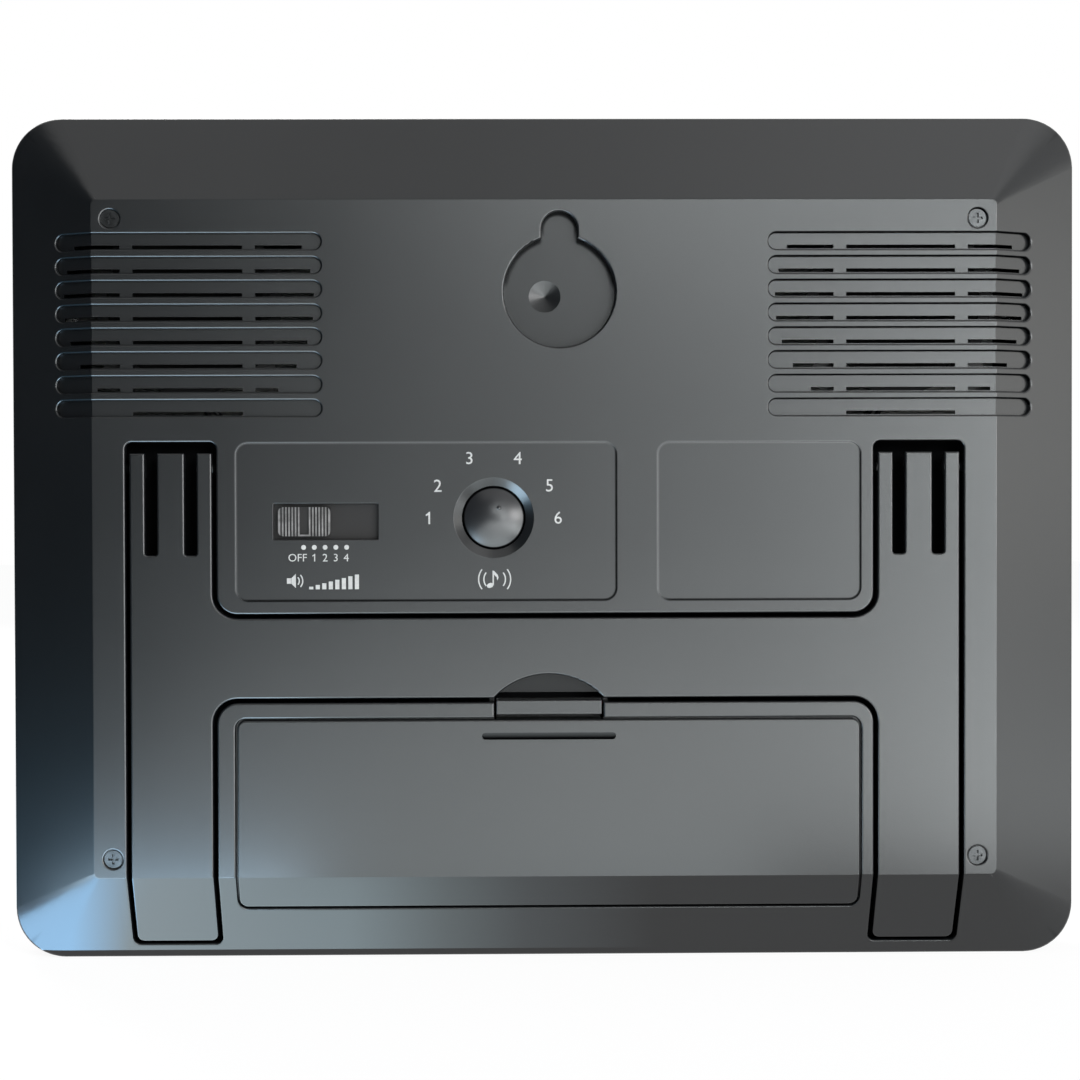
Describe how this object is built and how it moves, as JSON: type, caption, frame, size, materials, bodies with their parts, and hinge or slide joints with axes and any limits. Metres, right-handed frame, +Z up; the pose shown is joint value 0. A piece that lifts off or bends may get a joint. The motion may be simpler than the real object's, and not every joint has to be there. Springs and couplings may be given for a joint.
{
  "type": "azan clock",
  "caption": "Wall and table clock with a large display, rear speaker grilles, fold-out stand, hinged-latch battery door, volume slider and sound selector.",
  "frame": {"origin": "centre of the underside of the bounding box", "axes": "+Z up, the display looks along -Y, the rear face with the stand looks along +Y"},
  "size_m": [0.29, 0.042, 0.229],
  "materials": {
    "casing": "fine-textured dark grey moulding",
    "dark_controls": "near-black moulding with fine ribs",
    "button": "smooth mid-grey key caps",
    "lens": "clear acrylic with a printed dark border",
    "lcd": "grey-green reflective display",
    "light_guide": "milky acrylic",
    "tray": "white moulding",
    "ribbon": "amber film",
    "board": "green lacquer over glass laminate",
    "chip": "black moulded package",
    "can": "plain drawn can",
    "socket": "natural white nylon",
    "switch_black": "black switch body",
    "zinc": "zinc-plated steel",
    "spring_steel": "nickel-plated spring steel",
    "cell_jacket": "plain slate shrink sleeve",
    "pressed_steel": "grey-coated pressed steel",
    "cone_paper": "black pressed paper",
    "ferrite": "dark sintered ferrite",
    "lead_red": "red insulation",
    "lead_black": "black insulation",
    "lead_white": "white insulation"
  },
  "bodies": {
    "case": {"front_bezel": "casing", "window_lens": "lens", "lcd_panel": "lcd", "light_guide": "light_guide", "lcd_frame": "tray", "lcd_frame_screws": "zinc", "lcd_ribbon": "ribbon", "main_board": "board", "main_board_screws": "zinc", "clock_chip": "chip", "sound_chip": "chip", "amplifier_chip": "chip", "capacitors": "can", "quartz_crystal": "can", "lead_sockets": "socket", "button_board": "board", "button_board_screws": "zinc", "tact_switches": "switch_black", "control_board": "board", "control_board_screws": "zinc", "rear_cover": "casing", "case_screws": "zinc", "battery_cells": "cell_jacket", "positive_contact": "spring_steel", "negative_contact": "spring_steel", "volume_switch": "switch_black", "selector_switch": "switch_black", "speaker_screws": "zinc", "battery_leads": "lead_red", "speaker_leads": "lead_black", "control_leads": "lead_white", "button_leads": "lead_white", "speaker_frame_right": "pressed_steel", "speaker_cone_right": "cone_paper", "speaker_magnet_right": "ferrite", "speaker_frame_left": "pressed_steel", "speaker_cone_left": "cone_paper", "speaker_magnet_left": "ferrite"},
    "stand": {"stand": "casing"},
    "battery_door": {"battery_door": "casing"},
    "battery_latch": {"battery_latch": "casing"},
    "volume_slider": {"volume_slider": "dark_controls", "volume_switch_lever": "switch_black"},
    "selector": {"selector_knob": "casing", "selector_shaft": "socket"},
    "button_1": {"button_1": "button"},
    "button_2": {"button_2": "button"},
    "button_3": {"button_3": "button"},
    "button_4": {"button_4": "button"},
    "button_5": {"button_5": "button"},
    "button_6": {"button_6": "button"},
    "button_7": {"button_7": "button"}
  },
  "joints": [
    {"name": "stand_swing", "type": "hinge", "parent": "case", "child": "stand", "pos_m": [0, 0.018, 0.1336], "axis": [1, 0, 0], "range_deg": [0, 35]},
    {"name": "battery_door_tilt", "type": "hinge", "parent": "case", "child": "battery_door", "pos_m": [-0.0008, 0.0157, 0.0139], "axis": [-1, 0, 0], "range_deg": [0, 45]},
    {"name": "battery_latch_flex", "type": "hinge", "parent": "battery_door", "child": "battery_latch", "pos_m": [-0.0008, 0.011, 0.0652], "axis": [-1, 0, 0], "range_deg": [0, 6], "stiffness_Nm_per_rad": 0.4, "springref_deg": -1.15},
    {"name": "volume_slide", "type": "slide", "parent": "case", "child": "volume_slider", "axis": [-1, 0, 0], "range_m": [0, 0.0115]},
    {"name": "selector_turn", "type": "hinge", "parent": "case", "child": "selector", "pos_m": [0.0139, 0.018, 0.1201], "axis": [0, -1, 0], "range_deg": [-118, 62]},
    {"name": "button_1_press", "type": "slide", "parent": "case", "child": "button_1", "axis": [0, 1, 0], "range_m": [0, 0.0008], "stiffness_N_per_m": 400, "springref_m": -0.0005},
    {"name": "button_2_press", "type": "slide", "parent": "case", "child": "button_2", "axis": [0, 1, 0], "range_m": [0, 0.0008], "stiffness_N_per_m": 400, "springref_m": -0.0005},
    {"name": "button_3_press", "type": "slide", "parent": "case", "child": "button_3", "axis": [0, 1, 0], "range_m": [0, 0.0008], "stiffness_N_per_m": 400, "springref_m": -0.0005},
    {"name": "button_4_press", "type": "slide", "parent": "case", "child": "button_4", "axis": [0, 1, 0], "range_m": [0, 0.0008], "stiffness_N_per_m": 400, "springref_m": -0.0005},
    {"name": "button_5_press", "type": "slide", "parent": "case", "child": "button_5", "axis": [0, 1, 0], "range_m": [0, 0.0008], "stiffness_N_per_m": 400, "springref_m": -0.0005},
    {"name": "button_6_press", "type": "slide", "parent": "case", "child": "button_6", "axis": [0, 1, 0], "range_m": [0, 0.0008], "stiffness_N_per_m": 400, "springref_m": -0.0005},
    {"name": "button_7_press", "type": "slide", "parent": "case", "child": "button_7", "axis": [0, 1, 0], "range_m": [0, 0.0008], "stiffness_N_per_m": 400, "springref_m": -0.0005}
  ]
}
